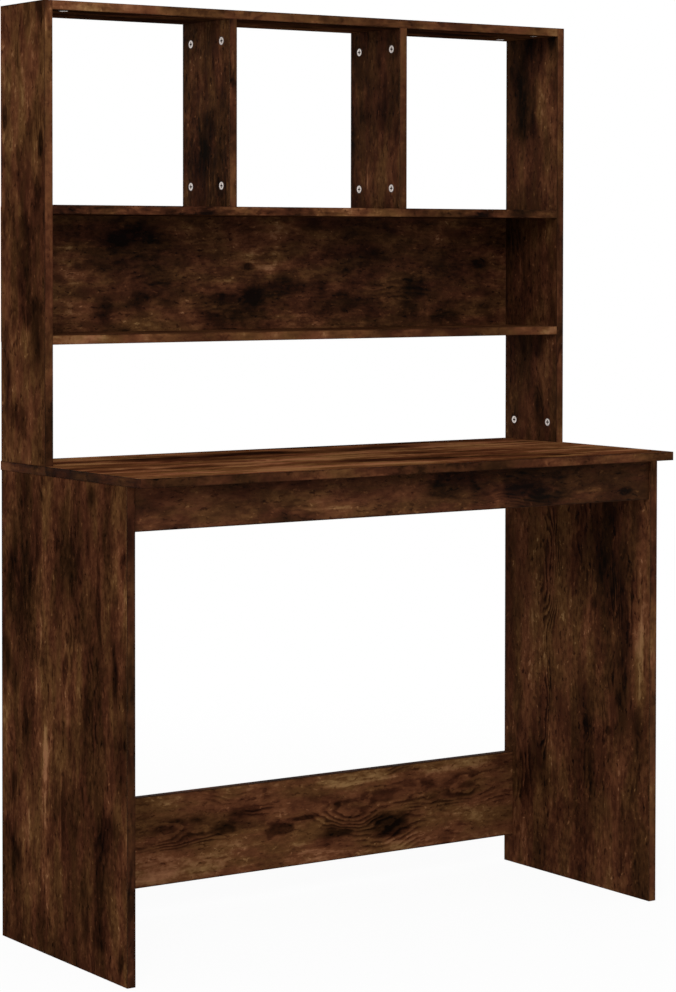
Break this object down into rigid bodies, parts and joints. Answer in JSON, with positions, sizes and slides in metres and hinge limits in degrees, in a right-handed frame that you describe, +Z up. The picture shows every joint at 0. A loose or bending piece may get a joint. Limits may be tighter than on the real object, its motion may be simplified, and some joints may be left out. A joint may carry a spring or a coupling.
{
  "type": "student desk with hutch",
  "caption": "Panel-leg writing desk with a front apron, a low rear stretcher and a shallow open hutch of shelves and dividers on its rear edge.",
  "frame": {"origin": "on the floor, under the middle of the desktop's width and depth", "axes": "+Z up, +Y from the sitter's side to the rear edge that carries the hutch, +X to the sitter's right"},
  "size_m": [1.1, 0.455, 1.57],
  "materials": {
    "faced_board": "satin, printed dark oak grain",
    "back_panel": "satin, printed dark oak grain",
    "edge_band": "satin, printed dark oak grain",
    "cam_metal": "die-cast, pale",
    "bolt_steel": "zinc plated",
    "dowel_wood": "raw beech"
  },
  "bodies": {
    "root": {"desktop": "faced_board", "left_leg_panel": "faced_board", "right_leg_panel": "faced_board", "front_apron": "faced_board", "rear_stretcher": "faced_board", "hutch_left_side": "faced_board", "hutch_right_side": "faced_board", "hutch_top": "faced_board", "divider_shelf": "faced_board", "lower_shelf": "faced_board", "left_divider": "faced_board", "right_divider": "faced_board", "hutch_back_panel": "back_panel", "desktop_edge_bands": "edge_band", "left_leg_panel_edge_bands": "edge_band", "right_leg_panel_edge_bands": "edge_band", "front_apron_edge_bands": "edge_band", "rear_stretcher_edge_bands": "edge_band", "hutch_left_side_edge_bands": "edge_band", "hutch_right_side_edge_bands": "edge_band", "hutch_top_edge_bands": "edge_band", "divider_shelf_edge_bands": "edge_band", "lower_shelf_edge_bands": "edge_band", "left_divider_edge_bands": "edge_band", "right_divider_edge_bands": "edge_band", "hutch_top_cams": "cam_metal", "hutch_side_cams": "cam_metal", "left_divider_cams": "cam_metal", "right_divider_cams": "cam_metal", "leg_cams": "cam_metal", "stretcher_cams": "cam_metal", "hutch_top_bolts": "bolt_steel", "hutch_side_bolts": "bolt_steel", "left_divider_bolts": "bolt_steel", "right_divider_bolts": "bolt_steel", "leg_bolts": "bolt_steel", "stretcher_bolts": "bolt_steel", "divider_shelf_dowels": "dowel_wood", "lower_shelf_dowels": "dowel_wood", "stretcher_dowels": "dowel_wood", "apron_dowels": "dowel_wood"}
  },
  "joints": []
}
